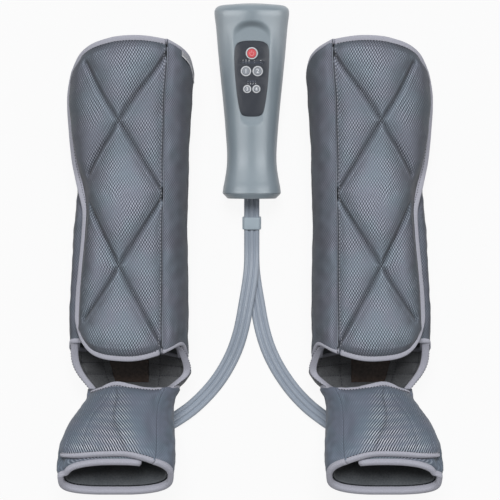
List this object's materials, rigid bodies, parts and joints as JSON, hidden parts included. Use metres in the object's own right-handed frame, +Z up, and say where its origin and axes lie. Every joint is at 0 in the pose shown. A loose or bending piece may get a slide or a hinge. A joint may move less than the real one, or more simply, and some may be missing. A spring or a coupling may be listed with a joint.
{
  "type": "air compression foot massager",
  "caption": "Pair of quilted calf and foot air compression wraps with hook-and-loop flaps, joined by flat hose ribbons to a barrel-shaped hand controller with push buttons.",
  "frame": {"origin": "centre of the massager's footprint, at the level of the table that it lies on", "axes": "+X towards the right wrap, +Y from the feet towards the knees, +Z up from the table"},
  "size_m": [0.3818, 0.493, 0.1134],
  "materials": {
    "calf_mesh": "slate blue spacer mesh with a fine diagonal weave",
    "foot_mesh": "darker slate spacer mesh with diagonal ribs",
    "binding_tape": "pale lilac-grey woven binding, stitched",
    "lining_cloth": "matt grey brushed lining",
    "bladder_film": "satin welded film",
    "heater_felt": "dark brown felt",
    "closure_tape": "dark hook-and-loop tape",
    "housing": "satin grey-blue moulding",
    "panel_film": "dark slate, semi-gloss",
    "button": "pale grey, satin",
    "power_button": "soft red, satin",
    "status_window": "smoked",
    "board_laminate": "green laminate",
    "inner_plastic": "plain dark moulding",
    "steel": "plain",
    "hose_vinyl": "pale grey-blue, satin"
  },
  "bodies": {
    "base": {"front_shell": "housing", "rear_shell": "housing", "base_cap": "housing", "shell_screw_1": "steel", "shell_screw_2": "steel", "control_panel": "panel_film", "upper_status_window": "status_window", "lower_status_window": "status_window", "button_board": "board_laminate", "main_board": "board_laminate", "valve_block": "inner_plastic", "left_solenoid_valve": "steel", "right_solenoid_valve": "steel", "pump_motor": "steel", "pump_head": "inner_plastic", "air_outlet_block": "inner_plastic", "power_jack": "inner_plastic", "left_hose_ribbon": "hose_vinyl", "right_hose_ribbon": "hose_vinyl", "hose_clip": "housing", "left_calf_cover": "calf_mesh", "left_calf_air_bladder": "bladder_film", "left_calf_heating_pad": "heater_felt", "left_calf_lining": "lining_cloth", "left_calf_loop_patch": "closure_tape", "left_ankle_gusset": "lining_cloth", "right_calf_cover": "calf_mesh", "right_calf_air_bladder": "bladder_film", "right_calf_heating_pad": "heater_felt", "right_calf_lining": "lining_cloth", "right_calf_loop_patch": "closure_tape", "right_ankle_gusset": "lining_cloth"},
    "left_calf_flap": {"left_calf_flap": "calf_mesh", "left_calf_flap_binding": "binding_tape", "left_calf_hook_strip": "closure_tape"},
    "left_foot": {"left_foot_cover": "foot_mesh", "left_foot_air_bladder": "bladder_film", "left_foot_lining": "lining_cloth", "left_toe_binding": "binding_tape", "left_hose_gland": "inner_plastic"},
    "left_foot_flap": {"left_foot_flap": "foot_mesh", "left_foot_flap_binding": "binding_tape", "left_foot_hook_strip": "closure_tape"},
    "right_calf_flap": {"right_calf_flap": "calf_mesh", "right_calf_flap_binding": "binding_tape", "right_calf_hook_strip": "closure_tape"},
    "right_foot": {"right_foot_cover": "foot_mesh", "right_foot_air_bladder": "bladder_film", "right_foot_lining": "lining_cloth", "right_toe_binding": "binding_tape", "right_hose_gland": "inner_plastic"},
    "right_foot_flap": {"right_foot_flap": "foot_mesh", "right_foot_flap_binding": "binding_tape", "right_foot_hook_strip": "closure_tape"},
    "power_button": {"power_button": "power_button"},
    "calf_mode_button": {"calf_mode_button": "button"},
    "foot_mode_button": {"foot_mode_button": "button"},
    "intensity_button": {"intensity_button": "button"},
    "heat_button": {"heat_button": "button"}
  },
  "joints": [
    {"name": "left_calf_flap_hinge", "type": "hinge", "parent": "base", "child": "left_calf_flap", "pos_m": [-0.0852, 0.05, 0.0832], "axis": [0, 1, 0], "range_deg": [0, 120]},
    {"name": "right_calf_flap_hinge", "type": "hinge", "parent": "base", "child": "right_calf_flap", "pos_m": [0.0852, 0.05, 0.0832], "axis": [0, -1, 0], "range_deg": [0, 120]},
    {"name": "left_ankle_flex", "type": "hinge", "parent": "base", "child": "left_foot", "pos_m": [-0.12, -0.1275, 0.006], "axis": [-1, 0, 0], "range_deg": [-8, 12], "deforming": ["left_ankle_gusset"]},
    {"name": "right_ankle_flex", "type": "hinge", "parent": "base", "child": "right_foot", "pos_m": [0.12, -0.1275, 0.006], "axis": [-1, 0, 0], "range_deg": [-8, 12], "deforming": ["right_ankle_gusset"]},
    {"name": "left_foot_flap_hinge", "type": "hinge", "parent": "left_foot", "child": "left_foot_flap", "pos_m": [-0.0884, -0.1426, 0.0646], "axis": [0.0831, 0.8288, -0.5534], "range_deg": [0, 80]},
    {"name": "right_foot_flap_hinge", "type": "hinge", "parent": "right_foot", "child": "right_foot_flap", "pos_m": [0.0884, -0.1426, 0.0646], "axis": [0.0831, -0.8288, 0.5534], "range_deg": [0, 80]},
    {"name": "power_button_press", "type": "slide", "parent": "base", "child": "power_button", "axis": [0, 0.0866, -0.9962], "range_m": [0, 0.0008], "stiffness_N_per_m": 1500},
    {"name": "calf_mode_button_press", "type": "slide", "parent": "base", "child": "calf_mode_button", "axis": [0, 0.0866, -0.9962], "range_m": [0, 0.0008], "stiffness_N_per_m": 1500},
    {"name": "foot_mode_button_press", "type": "slide", "parent": "base", "child": "foot_mode_button", "axis": [0, 0.0866, -0.9962], "range_m": [0, 0.0008], "stiffness_N_per_m": 1500},
    {"name": "intensity_button_press", "type": "slide", "parent": "base", "child": "intensity_button", "axis": [0, 0.0866, -0.9962], "range_m": [0, 0.0008], "stiffness_N_per_m": 1500},
    {"name": "heat_button_press", "type": "slide", "parent": "base", "child": "heat_button", "axis": [0, 0.0866, -0.9962], "range_m": [0, 0.0008], "stiffness_N_per_m": 1500}
  ]
}
